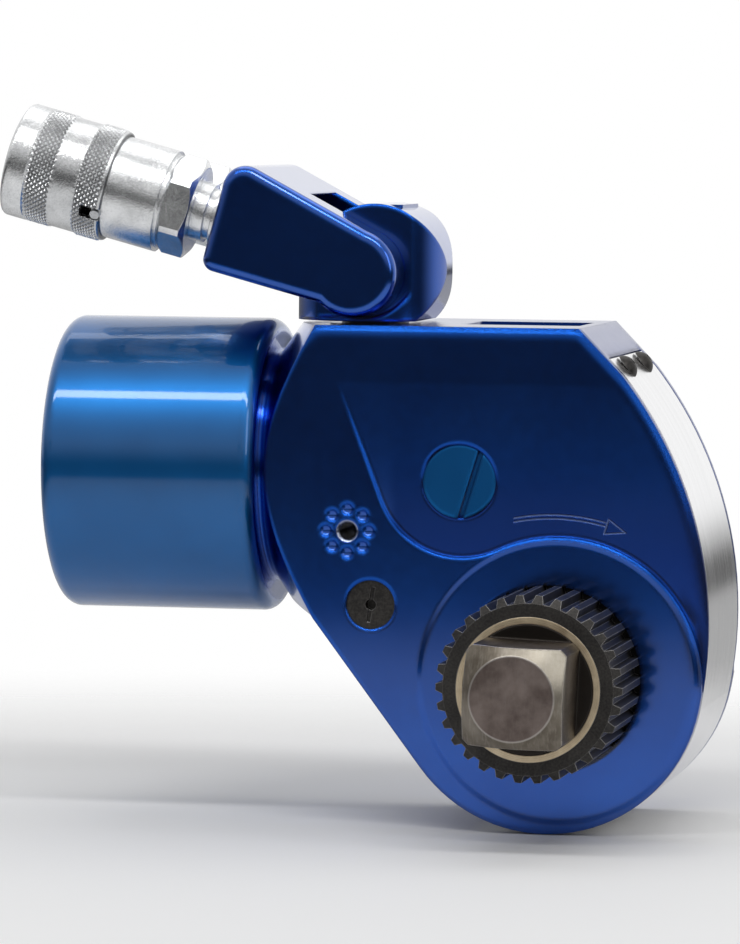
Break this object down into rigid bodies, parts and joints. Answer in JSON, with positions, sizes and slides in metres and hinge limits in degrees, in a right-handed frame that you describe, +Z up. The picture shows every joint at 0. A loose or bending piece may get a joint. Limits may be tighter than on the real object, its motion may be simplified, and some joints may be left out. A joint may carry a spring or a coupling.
{
  "type": "hydraulic torque wrench",
  "caption": "Hydraulic torque wrench: a piston turns a square drive through a ratchet, with a splined reaction ring and a tilting swivel that carries two hose couplers.",
  "frame": {"origin": "centre of the square drive at the plane where a socket seats, which is the front end of the reaction spline", "axes": "the square drive points along -Y, the hydraulic cylinder lies along X with its closed end towards -X, +Z is up towards the hose swivel"},
  "size_m": [0.1911, 0.1282, 0.1878],
  "materials": {
    "blue_anodised": "deep blue gloss anodised",
    "polished_stainless": "polished stainless sheet",
    "ground_steel": "ground and hardened",
    "tool_steel": "dark heat-treated tool steel with worn edges",
    "black_oxide": "black oxide",
    "bronze": "machined bronze",
    "zinc_plate": "zinc plated",
    "spring_steel": "bright spring steel",
    "seal_rubber": "moulded"
  },
  "bodies": {
    "tool": {"housing": "blue_anodised", "cylinder_cap": "blue_anodised", "rod_gland": "bronze", "spline_ring": "black_oxide", "front_bush": "bronze", "hub_bushes": "bronze", "pawl_pivot_pin": "black_oxide", "reaction_pawl_spring": "spring_steel", "shroud": "polished_stainless", "shroud_screws": "black_oxide", "access_plug": "blue_anodised"},
    "piston": {"piston": "ground_steel", "piston_seal": "seal_rubber", "piston_rod": "ground_steel"},
    "crank": {"drive_plates": "tool_steel", "rod_pin": "ground_steel", "pawl_bridge": "tool_steel", "drive_pawl_springs": "spring_steel"},
    "drive_pawl": {"drive_pawl": "ground_steel"},
    "drive": {"ratchet": "tool_steel", "square_drive": "tool_steel", "drive_retainer": "ground_steel", "retainer_spring": "spring_steel"},
    "button": {"retainer_button": "black_oxide"},
    "reaction_pawl": {"reaction_pawl": "ground_steel"},
    "turret": {"swivel_turret": "blue_anodised", "turret_seals": "seal_rubber", "turret_clip": "spring_steel"},
    "arm": {"swivel_block": "blue_anodised", "swivel_pin": "ground_steel", "female_body": "zinc_plate", "sleeve_spring": "spring_steel", "sleeve_lock_pin": "zinc_plate", "lock_balls": "spring_steel", "female_poppet_spring": "spring_steel", "male_body": "zinc_plate", "male_poppet_spring": "spring_steel"},
    "sleeve": {"female_sleeve": "zinc_plate"},
    "female_valve": {"female_poppet": "zinc_plate"},
    "male_valve": {"male_poppet": "zinc_plate"}
  },
  "joints": [
    {"name": "piston_stroke", "type": "slide", "parent": "tool", "child": "piston", "axis": [1, 0, 0], "range_m": [0, 0.0226]},
    {"name": "crank_swing", "type": "hinge", "parent": "tool", "child": "crank", "pos_m": [0, 0.0638, 0], "axis": [0, 1, 0], "range_deg": [0, 24.2]},
    {"name": "drive_pawl_lift", "type": "slide", "parent": "crank", "child": "drive_pawl", "axis": [0.1392, 0, 0.9903], "range_m": [0, 0.0048], "stiffness_N_per_m": 400, "springref_m": -0.002},
    {"name": "drive_turn", "type": "hinge", "parent": "tool", "child": "drive", "pos_m": [0, 0.0638, 0], "axis": [0, 1, 0], "range_deg": [0, 24.2]},
    {"name": "button_press", "type": "slide", "parent": "drive", "child": "button", "axis": [0, -1, 0], "range_m": [0, 0.0022], "stiffness_N_per_m": 400, "springref_m": -0.002},
    {"name": "reaction_pawl_lift", "type": "hinge", "parent": "tool", "child": "reaction_pawl", "pos_m": [-0.047, 0.0638, 0.0179], "axis": [0, 1, 0], "range_deg": [-11.5, 0]},
    {"name": "swivel_spin", "type": "hinge", "parent": "tool", "child": "turret", "pos_m": [-0.0525, 0.0638, 0.0905], "axis": [0, 0, 1], "continuous": true},
    {"name": "swivel_tilt", "type": "hinge", "parent": "turret", "child": "arm", "pos_m": [-0.0525, 0.0638, 0.1062], "axis": [0, 1, 0], "range_deg": [-12, 145]},
    {"name": "sleeve_slide", "type": "slide", "parent": "arm", "child": "sleeve", "axis": [0.965, 0, -0.2622], "range_m": [0, 0.0028], "stiffness_N_per_m": 600, "springref_m": -0.002},
    {"name": "female_valve_slide", "type": "slide", "parent": "arm", "child": "female_valve", "axis": [0.965, 0, -0.2622], "range_m": [0, 0.004], "stiffness_N_per_m": 400, "springref_m": -0.002},
    {"name": "male_valve_slide", "type": "slide", "parent": "arm", "child": "male_valve", "axis": [0.965, 0, -0.2622], "range_m": [0, 0.004], "stiffness_N_per_m": 400, "springref_m": -0.002}
  ],
  "couplings": [
    {"joint": "crank_swing", "follows": "piston_stroke", "rad_per_m": 18.53},
    {"joint": "drive_turn", "follows": "piston_stroke", "rad_per_m": 18.53},
    {"joint": "reaction_pawl_lift", "follows": "piston_stroke", "rad_per_m": -8.4}
  ]
}
